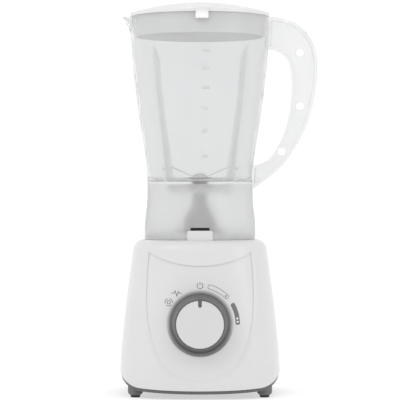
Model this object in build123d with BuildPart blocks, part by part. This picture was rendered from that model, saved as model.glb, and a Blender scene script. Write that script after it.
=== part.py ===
from build123d import *
import math
import os

os.makedirs("parts", exist_ok=True)

# A countertop blender: a tapered casing with the motor in it, a clear jug with
# a side handle and a spout, a lid with a filler cap, and one speed knob.
# Millimetres, +Z up. The origin is where the spindle axis meets the surface
# that the feet stand on. The knob is at -Y, the handle at +X, the spout at -X.

# ---------------------------------------------------------------- driving sizes

# Casing: a squared oval in plan, widest near the foot and drawn in to the top.
foot_half_width = 81.8
top_half_width = 67.0
foot_half_depth = 80.5
top_half_depth = 66.0
foot_squareness = 3.0
top_squareness = 2.4
taper_power = 1.33
widest_level = 24.6
casing_bottom = 2.0
casing_top = 157.3
casing_wall = 2.8
shoulder_radius = 11.0

# Hem: the line where the pale casing ends and the dark bottom cover begins.
hem_low = 8.2
hem_rise = 10.3
hem_flat = 60.0
hem_corner_x = foot_half_width + 1.2
hem_corner_level = 27.0
hem_gap = 0.2
cover_depth = 3.0
cover_reveal = 1.0
cover_rim_height = 6.0
cover_rim_wall = 1.8

# Front panel: a shallow shield-shaped recess with a sloped border.
panel_half_width = 51.0
panel_shoulder_level = 145.0
panel_dip_level = 132.0
panel_waist_level = 70.0
panel_bottom_level = 18.0
panel_depth = 1.2
panel_border = 4.0
border_depth = 1.1

# Knob and its round seat in the panel.
knob_level = 75.0
knob_skirt_radius = 29.1
knob_front_radius = knob_skirt_radius - 4.2
knob_height = 21.0
knob_seat_radius = knob_skirt_radius + 3.5
knob_seat_y = -73.6
knob_seat_wall = 2.6
knob_gap = 0.5
knob_wall = 2.2
knob_face_radius = knob_front_radius - 1.3
knob_face_thickness = 1.8
pointer_width = 3.0
pointer_length = 6.5

# Legs and rubber feet.
leg_x = foot_half_width - 17.0
leg_y = foot_half_depth - 27.5
leg_radius = 7.4
leg_bottom = 2.2
leg_chamfer = 2.0
pad_radius = 4.9
pad_stem_radius = 2.5
pad_stem_height = 5.0

# Jug. Its heights are measured up from its bottom edge, which stands on the casing's shoulder.
jug_lift = 0.5
jug_bottom = casing_top + jug_lift
jug_wall = 2.6
jug_skirt_radius = 56.9
jug_skirt_level = jug_bottom + 7.2
jug_waist_radius = 54.1
jug_waist_level = jug_bottom + 48.2
jug_waist_end = jug_bottom + 57.2
jug_floor_level = jug_bottom + 58.8
jug_swell_radius = 60.7
jug_swell_level = jug_bottom + 114.0
jug_breast_radius = 67.4
jug_breast_level = jug_bottom + 163.5
jug_neck_radius = 70.2
jug_neck_level = jug_bottom + 194.2
jug_rim_radius = 71.5
jug_height = 227.6
jug_rim_level = jug_bottom + jug_height
jug_floor_wall = 3.0
jug_floor_fillet = 6.0
jug_boss_radius = 33.0
jug_boss_bottom = jug_floor_level - 12.6
rib_thickness = 3.6
rib_top_level = jug_rim_level - 33.4
rib_depth_low = 11.0
rib_depth_mid = 7.2
rib_depth_high = 6.0

# Lid.
lid_edge_radius = jug_rim_radius - 0.1
lid_edge_height = 3.4
lid_rise = 14.2
lid_wall = 2.4
lid_gap = 0.4
plug_wall = 2.2
plug_depth = 20.4
plug_gap = 1.5
cap_radius = 24.0
cap_neck_radius = cap_radius - 3.5
cap_neck_depth = 16.0
cap_gap = 0.4

# Spindle, bearing and blades.
spindle_radius = 4.0
running_gap = 0.04
bearing_radius = spindle_radius + 3.5
bearing_flange_radius = bearing_radius + 4.5
bearing_bottom = jug_floor_level - 23.6
gasket_thickness = 0.8
bearing_flange_height = 1.4
blade_hub_radius = spindle_radius + 4.5
blade_thickness = 1.2
blade_reach = 30.5
lower_blade_reach = 25.0
lower_blade_turn = 82.0
blade_width = 13.0
upper_blade_angle = 25.0
lower_blade_angle = -3.0

# Couplings.
coupling_plane = casing_top + 13.7
dog_count = 6
dog_angle = 26.0
dog_outer_radius = 14.5
dog_inner_radius = 7.4
dog_height = 8.4
coupling_gap = 0.7
bell_radius = dog_outer_radius + 3.5
bell_neck_radius = 9.2
bell_top = bearing_bottom - 0.6

# Motor. It hangs from the casing's roof, so its heights are measured down from the upper bracket.
upper_bracket_level = casing_top - 29.3
lower_bracket_level = upper_bracket_level - 88.0
bracket_thickness = 3.0
shaft_radius = 4.0
shaft_bottom = lower_bracket_level - 16.0
shaft_top = coupling_plane - 5.0
stator_half_x = 43.0
stator_half_y = 36.0
stator_bottom = upper_bracket_level - 54.0
stator_top = upper_bracket_level - 16.0
yoke_wall = 6.0
stator_bore = 24.6
air_gap = 0.8
armature_slots = 12
motor_screw_x = stator_half_x - 5.0
motor_screw_y = stator_half_y - 5.0
mount_x = stator_half_x + 7.0
mount_y = 20.0
commutator_radius = 11.5
commutator_bottom = lower_bracket_level + 6.0
commutator_top = lower_bracket_level + 20.0
brush_level = (commutator_bottom + commutator_top) / 2
fan_radius = 30.0
fan_bottom = lower_bracket_level - 14.0
fan_top = lower_bracket_level - 4.0
fan_blades = 9

# Seat on top of the casing, which the jug's skirt drops over.
seat_radius = jug_skirt_radius - 4.5
seat_top = casing_top + 6.2
seat_lip_width = 2.2
seat_lip_height = 0.8
seat_hole_radius = 12.0
tab_half_width = 12.9
tab_top = casing_top + 9.5

# Rear wall.
gland_level = 30.0
cord_bore_radius = 3.7
gland_radius = cord_bore_radius + 2.3
gland_flange_radius = gland_radius + 3.0

# Clearances.
fit_gap = 0.2
above_rim = 10.0
FAR = 200.0


# ---------------------------------------------------------------- shared forms

def casing_size(level):
    """Half width, half depth and squareness of the casing's outline at a level."""
    rise = max(0.0, (level - widest_level) / (casing_top - widest_level))
    fall = rise ** taper_power
    half_x = foot_half_width - (foot_half_width - top_half_width) * fall
    half_y = foot_half_depth - (foot_half_depth - top_half_depth) * fall
    return half_x, half_y, foot_squareness - (foot_squareness - top_squareness) * rise


def casing_outline(level, inset, count=24):
    """Points round the casing's squared oval at a level, starting at the back."""
    half_x, half_y, power = casing_size(level)
    points = []
    for step in range(count):
        turn = math.radians(90 + 360 * step / count)
        across = abs(math.cos(turn) / (half_x - inset)) ** power
        along = abs(math.sin(turn) / (half_y - inset)) ** power
        reach = (across + along) ** (-1 / power)
        points.append((reach * math.cos(turn), reach * math.sin(turn)))
    return points


def casing_form(inset, bottom, top, stations=6):
    """Solid of the casing's tapered form, drawn in by inset."""
    with BuildPart() as form:
        for station in range(stations):
            level = bottom + (top - bottom) * station / (stations - 1)
            with BuildSketch(Plane.XY.offset(level)):
                with BuildLine():
                    Spline(*casing_outline(level, inset), periodic=True)
                make_face()
        loft()
    return form.part


def rounded_form(inset, top):
    """The casing's form with its top edge rounded over."""
    form = casing_form(inset, casing_bottom, top)
    rim = form.faces().sort_by(Axis.Z)[-1].edges()
    return form.fillet(shoulder_radius - inset, rim)


def below_hem(drop, tuck=0.0):
    """Everything below the hem line, moved down by drop and in by tuck."""
    with BuildPart() as under:
        with BuildSketch(Plane.XZ.offset(-FAR)):
            with BuildLine():
                left = (-hem_flat, hem_rise - drop)
                keel = ThreePointArc(left, (0, hem_low - drop), (hem_flat, hem_rise - drop))
                corner = (hem_corner_x - tuck, hem_corner_level - drop)
                turn_up = TangentArc(keel @ 1, corner, tangent=keel % 1)
                mirror(turn_up, about=Plane.YZ)
                level = corner[1]
                Polyline(corner, (FAR, level), (FAR, -FAR), (-FAR, -FAR), (-FAR, level), (-corner[0], level))
            make_face()
        extrude(amount=2 * FAR)
    return under.part


def jug_form(inset, bottom, top):
    """Solid inside the jug's outer profile, drawn in by inset, between two levels."""
    with BuildPart() as form:
        with BuildSketch(Plane.XZ):
            with BuildLine():
                skirt_foot = (jug_skirt_radius - inset, jug_bottom)
                skirt_head = (jug_skirt_radius - inset, jug_skirt_level)
                waist = (jug_waist_radius - inset, jug_waist_level)
                waist_end = (jug_waist_radius - inset, jug_waist_end)
                swell = (jug_swell_radius - inset, jug_swell_level)
                breast = (jug_breast_radius - inset, jug_breast_level)
                neck = (jug_neck_radius - inset, jug_neck_level)
                rim = (jug_rim_radius - inset, jug_rim_level)
                Line(skirt_foot, skirt_head)
                Spline(skirt_head, waist, tangents=((0, 1), (0, 1)))
                Line(waist, waist_end)
                Spline(waist_end, swell, breast, neck, rim, tangents=((0, 1), (0.035, 1)))
                crown = jug_rim_level + above_rim
                Polyline(rim, (rim[0], crown), (0, crown), (0, jug_bottom), skirt_foot)
            make_face()
        revolve(axis=Axis.Z)
        with BuildSketch(Plane.XY.offset(bottom)):
            Rectangle(FAR, FAR)
        extrude(amount=top - bottom, mode=Mode.INTERSECT)
    return form.part


def bowl_radius(level):
    """Inside radius of the bowl, taken straight between the profile's stations."""
    stations = (
        (jug_waist_end, jug_waist_radius), (jug_swell_level, jug_swell_radius),
        (jug_breast_level, jug_breast_radius), (jug_neck_level, jug_neck_radius),
        (jug_rim_level, jug_rim_radius),
    )
    for (low, narrow), (high, wide) in zip(stations, stations[1:]):
        if level <= high:
            break
    return narrow + (wide - narrow) * (level - low) / (high - low) - jug_wall


def is_closed_edge(edge):
    """True for a full circle or any other edge that ends where it starts."""
    return edge.is_closed


def ring(inner, outer, bottom, top):
    """Plain ring about the spindle axis."""
    with BuildPart() as band:
        with BuildSketch(Plane.XY.offset(bottom)):
            Circle(outer)
            Circle(inner, mode=Mode.SUBTRACT)
        extrude(amount=top - bottom)
    return band.part


pieces = []


def keep(builder, name):
    """Label a finished piece and write it."""
    builder.part.label = name
    export_step(builder.part, f"parts/{name}.step")
    pieces.append((name, builder.part))
    print(name, len(builder.part.solids()), round(builder.part.volume))


# ---------------------------------------------------------------- casing

outer_form = rounded_form(0.0, casing_top)
inner_void = rounded_form(casing_wall, casing_top - casing_wall)
panel_floor = casing_form(panel_depth, casing_bottom, casing_top + above_rim)

with BuildPart() as panel_outline:
    with BuildSketch(Plane.XZ.offset(top_half_depth / 2)):
        with BuildLine():
            shoulder = (panel_half_width, panel_shoulder_level)
            ThreePointArc((-shoulder[0], shoulder[1]), (0, panel_dip_level), shoulder)
            flank = Spline(
                shoulder,
                (panel_half_width + 2.4, (panel_shoulder_level + panel_waist_level) / 2 + 7.5),
                (panel_half_width, panel_waist_level),
                (0, panel_bottom_level),
                tangents=((0.15, -1), (-1, 0)),
            )
            mirror(flank, about=Plane.YZ)
        make_face()
    extrude(amount=foot_half_depth)

panel_recess = panel_outline.part - panel_floor

with BuildPart() as seat_thickening:
    with BuildSketch(Plane.XZ.offset(-knob_seat_y - knob_seat_wall)):
        with Locations((0, knob_level)):
            Circle(knob_seat_radius + knob_seat_wall)
    extrude(amount=foot_half_depth)
    add(panel_floor, mode=Mode.INTERSECT)

screw_post_x = foot_half_width - 37.8
screw_post_y = foot_half_depth - 14.5
screw_post_radius = 4.2
screw_post_bottom = 16.4
screw_post_top = 38.0
screw_radius = 1.9
screw_length = 18.0
post_rib_width = 3.0
post_rib_length = 12.0

with BuildPart() as wall_posts:
    with BuildSketch(Plane.XY.offset(screw_post_bottom)):
        with GridLocations(2 * screw_post_x, 2 * screw_post_y, 2, 2):
            Circle(screw_post_radius)
        with GridLocations(2 * screw_post_x, 2 * screw_post_y + post_rib_length, 2, 2):
            Rectangle(post_rib_width, post_rib_length)
    extrude(amount=screw_post_top - screw_post_bottom)
    add(panel_floor, mode=Mode.INTERSECT)
    with BuildSketch(Plane.XY.offset(screw_post_bottom)):
        with GridLocations(2 * screw_post_x, 2 * screw_post_y, 2, 2):
            Circle(screw_radius + fit_gap / 4)
    extrude(amount=screw_length, mode=Mode.SUBTRACT)

mount_post_radius = 5.0
mount_post_bottom = upper_bracket_level + 6.0
mount_screw_radius = 2.0
mount_pilot_depth = 15.0
rear_vent_level = 92.0
rear_vent_pitch = 9.0
rear_vent_count = 8
rear_vent_height = 34.0
vent_width = 3.2
switch_bush_radius = 4.5

gland_y = casing_size(gland_level)[1]
seat_void_radius = seat_radius - casing_wall

with BuildPart() as base_housing:
    add(outer_form)
    add(panel_recess, mode=Mode.SUBTRACT)
    lower_border = base_housing.edges().filter_by(
        lambda edge: abs(edge.bounding_box().min.Z - panel_bottom_level) < 0.2
    )
    border_edge = lower_border.sort_by(lambda edge: edge.bounding_box().min.Y)[0]
    outside = base_housing.faces().sort_by(SortBy.AREA)[-1]
    chamfer(border_edge, length=panel_border, length2=border_depth, reference=outside)
    add(inner_void, mode=Mode.SUBTRACT)
    add(seat_thickening.part)
    add(wall_posts.part)
    # Seat that the jug drops over, hollow inside, with a raised lip round the shaft hole.
    add(ring(seat_void_radius, seat_radius, casing_top - casing_wall, seat_top))
    add(ring(seat_hole_radius, seat_void_radius + 1.0, seat_top - casing_wall, seat_top))
    with BuildSketch(Plane.XY.offset(casing_top - casing_wall - 1.0)):
        Circle(seat_void_radius)
    extrude(amount=seat_top - casing_top + 1.0, mode=Mode.SUBTRACT)
    add(ring(seat_hole_radius, seat_hole_radius + seat_lip_width, seat_top - 1.0, seat_top + seat_lip_height))
    # Posts for the rubber motor mounts, hanging from the roof.
    with BuildSketch(Plane.XY.offset(mount_post_bottom)):
        with GridLocations(2 * mount_x, 2 * mount_y, 2, 2):
            Circle(mount_post_radius)
    extrude(amount=casing_top - 1.5 - mount_post_bottom)
    with BuildSketch(Plane.XY.offset(mount_post_bottom)):
        with GridLocations(2 * mount_x, 2 * mount_y, 2, 2):
            Circle(mount_screw_radius + fit_gap / 4)
    extrude(amount=mount_pilot_depth, mode=Mode.SUBTRACT)
    # Locking tab that stands in the notch of the jug's skirt.
    with BuildSketch(Plane.XY.offset(casing_top - 1.0)):
        Circle(jug_skirt_radius - fit_gap)
        Circle(seat_radius - 1.0, mode=Mode.SUBTRACT)
        with Locations((0, -jug_skirt_radius)):
            Rectangle(2 * tab_half_width, 20.0, mode=Mode.INTERSECT)
    extrude(amount=tab_top - casing_top + 1.0)
    # Round seat for the knob, its hole for the switch, the cord hole and the rear vents.
    with BuildSketch(Plane.XZ.offset(-knob_seat_y)):
        with Locations((0, knob_level)):
            Circle(knob_seat_radius)
    extrude(amount=foot_half_depth, mode=Mode.SUBTRACT)
    with BuildSketch(Plane.XZ.offset(top_half_depth / 2)):
        with Locations((0, knob_level)):
            Circle(switch_bush_radius + fit_gap / 2)
    extrude(amount=foot_half_depth, mode=Mode.SUBTRACT)
    with BuildSketch(Plane.XZ.offset(-FAR)):
        with Locations((0, gland_level)):
            Circle(gland_radius + fit_gap / 4)
        with Locations((0, rear_vent_level)):
            with GridLocations(rear_vent_pitch, 0, rear_vent_count, 1):
                SlotOverall(rear_vent_height, vent_width, rotation=90)
    extrude(amount=FAR - top_half_depth / 2, mode=Mode.SUBTRACT)
    add(below_hem(0.0), mode=Mode.SUBTRACT)
keep(base_housing, "base_housing")

cover_form_top = 45.0
rim_inset = casing_wall + fit_gap
cup_radius = 6.2
screw_head_radius = 3.8
screw_head_height = 2.2
screw_seat_level = 13.6
screw_cross = 4.0
screw_cross_width = 0.8
screw_cross_depth = 1.2
vent_count = 16
vent_ring_radius = 24.0
vent_length = 20.0

with BuildPart() as cover_plate:
    add(casing_form(cover_reveal, casing_bottom, cover_form_top))
    add(below_hem(hem_gap), mode=Mode.INTERSECT)
    add(below_hem(hem_gap + cover_depth, cover_reveal), mode=Mode.SUBTRACT)

with BuildPart() as cover_rim:
    add(casing_form(rim_inset, casing_bottom, cover_form_top))
    cover_inside = casing_form(rim_inset + cover_rim_wall, casing_bottom - 1.0, cover_form_top + 1.0)
    add(cover_inside, mode=Mode.SUBTRACT)
    add(below_hem(-cover_rim_height), mode=Mode.INTERSECT)
    add(below_hem(hem_gap + 1.0), mode=Mode.SUBTRACT)

with BuildPart() as leg_set:
    with BuildSketch(Plane.XY.offset(leg_bottom)):
        with GridLocations(2 * leg_x, 2 * leg_y, 2, 2):
            Circle(leg_radius)
    extrude(amount=25.0, taper=-1.5)
    chamfer(leg_set.edges().group_by(Axis.Z)[0], length=leg_chamfer)
    add(casing_form(cover_reveal, casing_bottom, cover_form_top), mode=Mode.INTERSECT)
    add(below_hem(hem_gap), mode=Mode.INTERSECT)

with BuildPart() as bottom_cover:
    add(cover_plate.part)
    add(cover_rim.part)
    add(leg_set.part)
    with BuildSketch(Plane.XY.offset(hem_rise - cover_depth)):
        with GridLocations(2 * screw_post_x, 2 * screw_post_y, 2, 2):
            Circle(cup_radius)
    extrude(amount=screw_post_bottom - fit_gap - hem_rise + cover_depth)
    with BuildSketch(Plane.XY):
        with GridLocations(2 * screw_post_x, 2 * screw_post_y, 2, 2):
            Circle(screw_head_radius + 0.4)
    extrude(amount=screw_seat_level, mode=Mode.SUBTRACT)
    # Holes for the pads' stems, then the screw holes and the ring of vents.
    with BuildSketch(Plane.XY):
        with GridLocations(2 * leg_x, 2 * leg_y, 2, 2):
            Circle(pad_stem_radius)
    extrude(amount=leg_bottom + pad_stem_height, mode=Mode.SUBTRACT)
    with BuildSketch(Plane.XY):
        with PolarLocations(vent_ring_radius, vent_count):
            SlotOverall(vent_length, vent_width)
        with GridLocations(2 * screw_post_x, 2 * screw_post_y, 2, 2):
            Circle(screw_radius + fit_gap)
    extrude(amount=screw_post_bottom, mode=Mode.SUBTRACT)
keep(bottom_cover, "bottom_cover")

with BuildPart() as rubber_feet:
    with BuildSketch(Plane.XY):
        with GridLocations(2 * leg_x, 2 * leg_y, 2, 2):
            Circle(pad_radius)
    extrude(amount=leg_bottom)
    chamfer(rubber_feet.edges().group_by(Axis.Z)[0], length=0.6)
    with BuildSketch(Plane.XY.offset(leg_bottom)):
        with GridLocations(2 * leg_x, 2 * leg_y, 2, 2):
            Circle(pad_stem_radius - 0.05)
    extrude(amount=pad_stem_height - fit_gap)
keep(rubber_feet, "rubber_feet")

with BuildPart() as bottom_screws:
    with BuildSketch(Plane.XY.offset(screw_seat_level - screw_head_height)):
        with GridLocations(2 * screw_post_x, 2 * screw_post_y, 2, 2):
            Circle(screw_head_radius)
    extrude(amount=screw_head_height)
    fillet(bottom_screws.edges().group_by(Axis.Z)[0], radius=0.8)
    with BuildSketch(Plane.XY.offset(screw_seat_level - screw_head_height)):
        with GridLocations(2 * screw_post_x, 2 * screw_post_y, 2, 2):
            Rectangle(screw_cross, screw_cross_width)
            Rectangle(screw_cross_width, screw_cross)
    extrude(amount=screw_cross_depth, mode=Mode.SUBTRACT)
    with BuildSketch(Plane.XY.offset(screw_seat_level)):
        with GridLocations(2 * screw_post_x, 2 * screw_post_y, 2, 2):
            Circle(screw_radius)
    extrude(amount=screw_length)
keep(bottom_screws, "bottom_screws")

gland_flange_back = gland_y + 0.4
gland_flange_front = gland_y + 2.3
gland_lock_radius = gland_radius + 1.6
gland_lock_front = gland_y - casing_wall - 0.7
gland_lock_back = gland_lock_front - 4.0

with BuildPart() as cord_gland:
    with BuildSketch(Plane.XZ.offset(-gland_flange_front)):
        with Locations((0, gland_level)):
            Circle(gland_flange_radius)
    extrude(amount=gland_flange_front - gland_flange_back)
    with BuildSketch(Plane.XZ.offset(-gland_flange_front + 1.0)):
        with Locations((0, gland_level)):
            Circle(gland_radius)
    extrude(amount=gland_flange_front - 1.0 - gland_lock_back)
    with BuildSketch(Plane.XZ.offset(-gland_lock_front)):
        with Locations((0, gland_level)):
            Circle(gland_lock_radius)
    extrude(amount=gland_lock_front - gland_lock_back)
    with BuildSketch(Plane.XZ.offset(-gland_flange_front)):
        with Locations((0, gland_level)):
            Circle(cord_bore_radius)
    extrude(amount=gland_flange_front - gland_lock_back, mode=Mode.SUBTRACT)
    fillet(cord_gland.faces().sort_by(Axis.Y)[-1].outer_wire().edges(), radius=0.8)
keep(cord_gland, "cord_gland")


# ---------------------------------------------------------------- knob and switch

knob_back = -knob_seat_y + knob_gap
knob_front = knob_back + knob_height
knob_hub_radius = 6.2
knob_spindle_radius = 3.0
knob_lean = (knob_skirt_radius - knob_front_radius) / knob_height
switch_front = -knob_seat_y - knob_seat_wall - 0.3
switch_depth = 20.0
switch_half_width = 17.0
switch_half_height = 15.0
switch_corner = 3.0
terminal_length = 7.0
terminal_width = 4.8
terminal_thickness = 0.8
spindle_end = 4.0
bush_front = -knob_seat_y + 3.6

with BuildPart() as knob_body:
    with BuildSketch(Plane.YZ):
        with BuildLine():
            Polyline(
                (-knob_back, knob_level),
                (-knob_back, knob_level + knob_skirt_radius),
                (-knob_front, knob_level + knob_front_radius),
                (-knob_front, knob_level),
                close=True,
            )
        make_face()
    revolve(axis=Axis((0, 0, knob_level), (0, 1, 0)))
    fillet(knob_body.edges().sort_by(Axis.Y)[0], radius=0.6)
    # Hollow back, closed by the front wall.
    hollow_front = knob_front - knob_face_thickness - knob_wall
    with BuildSketch(Plane.XZ.offset(knob_back)):
        with Locations((0, knob_level)):
            Circle(knob_skirt_radius - knob_wall)
    knob_taper = math.degrees(math.atan(knob_lean))
    extrude(amount=hollow_front - knob_back, taper=knob_taper, mode=Mode.SUBTRACT)
    with BuildSketch(Plane.XZ.offset(bush_front + 0.6)):
        with Locations((0, knob_level)):
            Circle(knob_hub_radius)
    extrude(amount=hollow_front - bush_front)
    # Front recess for the face disc, with the pointer left standing in it.
    with BuildSketch(Plane.XZ.offset(knob_front - knob_face_thickness - 0.1)):
        with Locations((0, knob_level)):
            Circle(knob_face_radius + 0.25)
        with Locations((0, knob_level + knob_face_radius)):
            SlotOverall(2 * pointer_length, pointer_width, rotation=90, mode=Mode.SUBTRACT)
    extrude(amount=knob_face_thickness + 1.0, mode=Mode.SUBTRACT)
    # Ridge down the skirt in line with the pointer.
    with BuildSketch(Plane.YZ.offset(-pointer_width / 2)):
        with BuildLine():
            Polyline(
                (-knob_front + 0.3, knob_level + knob_face_radius + 0.3),
                (-knob_front + 0.3, knob_level + knob_front_radius + 0.9),
                (-knob_back - 2.0, knob_level + knob_skirt_radius - 0.5),
                (-knob_back - 2.0, knob_level + knob_skirt_radius - 1.2),
                close=True,
            )
        make_face()
    extrude(amount=pointer_width)
    with BuildSketch(Plane.XZ.offset(bush_front)):
        with Locations((0, knob_level)):
            Circle(knob_spindle_radius)
    extrude(amount=hollow_front - bush_front - 0.5, mode=Mode.SUBTRACT)
keep(knob_body, "knob_body")

with BuildPart() as knob_face:
    with BuildSketch(Plane.XZ.offset(knob_front - knob_face_thickness)):
        with Locations((0, knob_level)):
            Circle(knob_face_radius)
        with Locations((0, knob_level + knob_face_radius)):
            notch_length = 2 * (pointer_length + fit_gap)
            SlotOverall(notch_length, pointer_width + 2 * fit_gap, rotation=90, mode=Mode.SUBTRACT)
    extrude(amount=knob_face_thickness)
    fillet(knob_face.faces().sort_by(Axis.Y)[0].outer_wire().edges(), radius=0.3)
keep(knob_face, "knob_face")

with BuildPart() as switch_spindle:
    with BuildSketch(Plane.XZ.offset(switch_front - switch_depth + spindle_end)):
        with Locations((0, knob_level)):
            Circle(knob_spindle_radius)
    extrude(amount=hollow_front - 1.0 - switch_front + switch_depth - spindle_end)
keep(switch_spindle, "switch_spindle")

with BuildPart() as rotary_switch:
    with BuildSketch(Plane.XZ.offset(switch_front - switch_depth)):
        with Locations((0, knob_level)):
            RectangleRounded(2 * switch_half_width, 2 * switch_half_height, switch_corner)
    extrude(amount=switch_depth)
    with BuildSketch(Plane.XZ.offset(switch_front)):
        with Locations((0, knob_level)):
            Circle(switch_bush_radius)
    extrude(amount=bush_front - switch_front)
    # Four flat terminals at the back.
    with BuildSketch(Plane.XZ.offset(switch_front - switch_depth - terminal_length)):
        with Locations((0, knob_level)):
            with GridLocations(8.0, 14.0, 4, 2):
                Rectangle(terminal_width, terminal_thickness)
    extrude(amount=terminal_length + 0.5)
    with BuildSketch(Plane.XZ.offset(switch_front - switch_depth + spindle_end - 0.1)):
        with Locations((0, knob_level)):
            Circle(knob_spindle_radius + running_gap)
    extrude(amount=FAR / 2, mode=Mode.SUBTRACT)
keep(rotary_switch, "rotary_switch")

with BuildPart() as switch_nut:
    with BuildSketch(Plane.XZ.offset(-knob_seat_y + 0.1)):
        with Locations((0, knob_level)):
            RegularPolygon(7.0, 6)
            Circle(switch_bush_radius, mode=Mode.SUBTRACT)
    extrude(amount=2.4)
keep(switch_nut, "switch_nut")

# ---------------------------------------------------------------- jug

notch_gap = 0.3
bearing_hole_gap = 0.1


# Spout: rise from the rim, reach past the rim's radius and half width at four levels.
spout_stations = ((-39.4, -3.2, 8.0), (-22.4, -1.7, 12.0), (-10.4, 1.9, 16.0), (0.0, 8.1, 19.5))
spout_wall = 2.3
spout_centre = jug_rim_radius - 19.5
spout_lean = 0.75


def spout_form(inset, lift):
    """Flared lip at -X, narrow low on the wall and wide at the rim, its mouth raised by lift."""
    with BuildPart() as form:
        for rise, reach, half in spout_stations:
            extra = lift if rise == 0.0 else 0.0
            half_x = jug_rim_radius + reach - spout_centre - inset + extra * spout_lean
            with BuildSketch(Plane.XY.offset(jug_rim_level + rise + extra)):
                with Locations((-spout_centre, 0)):
                    Ellipse(half_x, half - inset + extra / 4)
        loft()
    return form.part


handle_width = 18.0
handle_web = 4.0
handle_flange = 2.9
handle_root = 2.6
handle_hole_radius = 4.0

# Handle: places measured out and down from the top of the rim's outside.
handle_holes = ((31.4, 36.2), (31.4, 91.1), (12.4, 137.8))
handle_back = (
    (-5.5, 0.1), (12.5, 1.4), (31.5, 10.0), (43.9, 25.9), (48.7, 44.4), (46.5, 77.4),
    (36.7, 113.6), (23.3, 138.3), (10.4, 154.8), (-4.5, 167.1), (-21.5, 179.2),
)
handle_front = (
    (-5.5, 32.8), (5.8, 33.5), (14.5, 38.1), (20.3, 47.4), (23.0, 63.4), (22.5, 82.4), (18.4, 107.9),
    (12.0, 125.9), (6.0, 136.8), (-0.1, 145.0), (-7.5, 149.8), (-21.5, 152.8),
)


def from_rim(places):
    """Points in the XZ plane for places given out and down from the top of the rim."""
    return [(jug_rim_radius + out, jug_rim_level - down) for out, down in places]


def line_beside(points, distance, count=24):
    """Points that run beside the spline through points, at a distance on its left."""
    guide = Spline(*from_rim(points), mode=Mode.PRIVATE)
    beside = []
    for step in range(count + 1):
        heading = guide % (step / count)
        beside.append(guide @ (step / count) + Vector(-heading.Y, heading.X) * distance)
    return beside


def handle_face(inset):
    """Outline of the handle in the XZ plane, from the wall out, drawn in by inset."""
    with BuildSketch(Plane.XZ) as face:
        with BuildLine():
            back = Spline(*line_beside(handle_back, -inset))
            front = Spline(*line_beside(handle_front, inset))
            Line(back @ 0, front @ 0)
            Line(back @ 1, front @ 1)
        make_face()
    return face.sketch


window_half_width = 9.6
window_top = tab_top + 3.0
guide_bottom = window_top + 0.7
guide_height = 15.0
guide_rib_x = (-9.6, -7.4, 7.4, 9.6)

with BuildPart() as rib_single:
    with BuildSketch(Plane.XZ):
        with BuildLine():
            low_tip = (jug_waist_radius - jug_wall - rib_depth_low, jug_floor_level)
            mid_tip = (jug_swell_radius - jug_wall - rib_depth_mid, jug_swell_level)
            high_tip = (jug_neck_radius - jug_wall - rib_depth_high, rib_top_level - 6.0)
            edge_line = Spline(low_tip, mid_tip, high_tip, tangents=((0.1, 1), (0.06, 1)))
            top = rib_top_level + 4.0
            root = jug_floor_level - 1.0
            Polyline(edge_line @ 1, (jug_neck_radius - jug_wall / 2, top), (jug_rim_radius, top))
            Polyline((jug_rim_radius, top), (jug_rim_radius, root), (low_tip[0], root), edge_line @ 0)
        make_face()
    extrude(amount=rib_thickness / 2, both=True)
rib_blank = rib_single.part

graduation_step = 250.0
graduation_count = 6
mark_width = 16.0
mark_height = 0.9
mark_depth = 0.5


def fill_levels(step_ml, count):
    """Levels at which the bowl holds one, two, three and more steps of millilitres."""
    levels = []
    level = jug_floor_level
    held = 0.0
    slice_height = 0.1
    while len(levels) < count:
        held += math.pi * bowl_radius(level) ** 2 * slice_height / 1000
        level += slice_height
        if held >= step_ml * (len(levels) + 1):
            levels.append(level)
    return levels


graduation_levels = fill_levels(graduation_step, graduation_count)
half_levels = fill_levels(graduation_step / 2, 2 * graduation_count)[0::2]
label_radius = 6.0
label_level = graduation_levels[-1] + label_radius + 0.5
print("graduation", [round(level, 1) for level in graduation_levels])
with BuildPart() as graduation:
    add(jug_form(-mark_depth, jug_bottom, jug_rim_level))
    add(jug_form(0.0, jug_bottom, jug_rim_level), mode=Mode.SUBTRACT)
    with BuildSketch(Plane.XZ.offset(jug_waist_radius - 10)):
        for level in graduation_levels:
            with Locations((0, level)):
                Rectangle(mark_width, mark_height)
        for level in half_levels:
            with Locations((-mark_width / 4, level)):
                Rectangle(mark_width / 2, mark_height)
        with Locations((0, label_level)):
            Circle(label_radius)
    extrude(amount=40.0, mode=Mode.INTERSECT)

with BuildPart() as handle_pocket:
    extrude(handle_face(handle_flange), amount=handle_width, both=True)
    add(jug_form(-handle_root, jug_bottom, jug_rim_level + above_rim), mode=Mode.SUBTRACT)
    with BuildSketch(Plane.XZ):
        with Locations((jug_rim_radius, jug_rim_level - FAR / 2)):
            Rectangle(FAR, 2 * FAR)
    extrude(amount=handle_web / 2, both=True, mode=Mode.SUBTRACT)

with BuildPart() as handle_blank:
    extrude(handle_face(0.0), amount=handle_width / 2, both=True)
    add(handle_pocket.part, mode=Mode.SUBTRACT)
    with BuildSketch(Plane.XZ.offset(-handle_width)):
        with Locations(*from_rim(handle_holes)):
            Circle(handle_hole_radius)
    extrude(amount=2 * handle_width, mode=Mode.SUBTRACT)

with BuildPart() as rib_ring:
    for turn in (45, 135, 225, 315):
        add(rib_blank.rotate(Axis.Z, turn))
    add(jug_form(jug_wall / 2, jug_floor_level - 1.0, rib_top_level + 4.0), mode=Mode.INTERSECT)

with BuildPart() as bowl:
    add(jug_form(jug_wall, jug_floor_level, jug_rim_level + above_rim))
    fillet(bowl.edges().group_by(Axis.Z)[0], radius=jug_floor_fillet)

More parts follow.
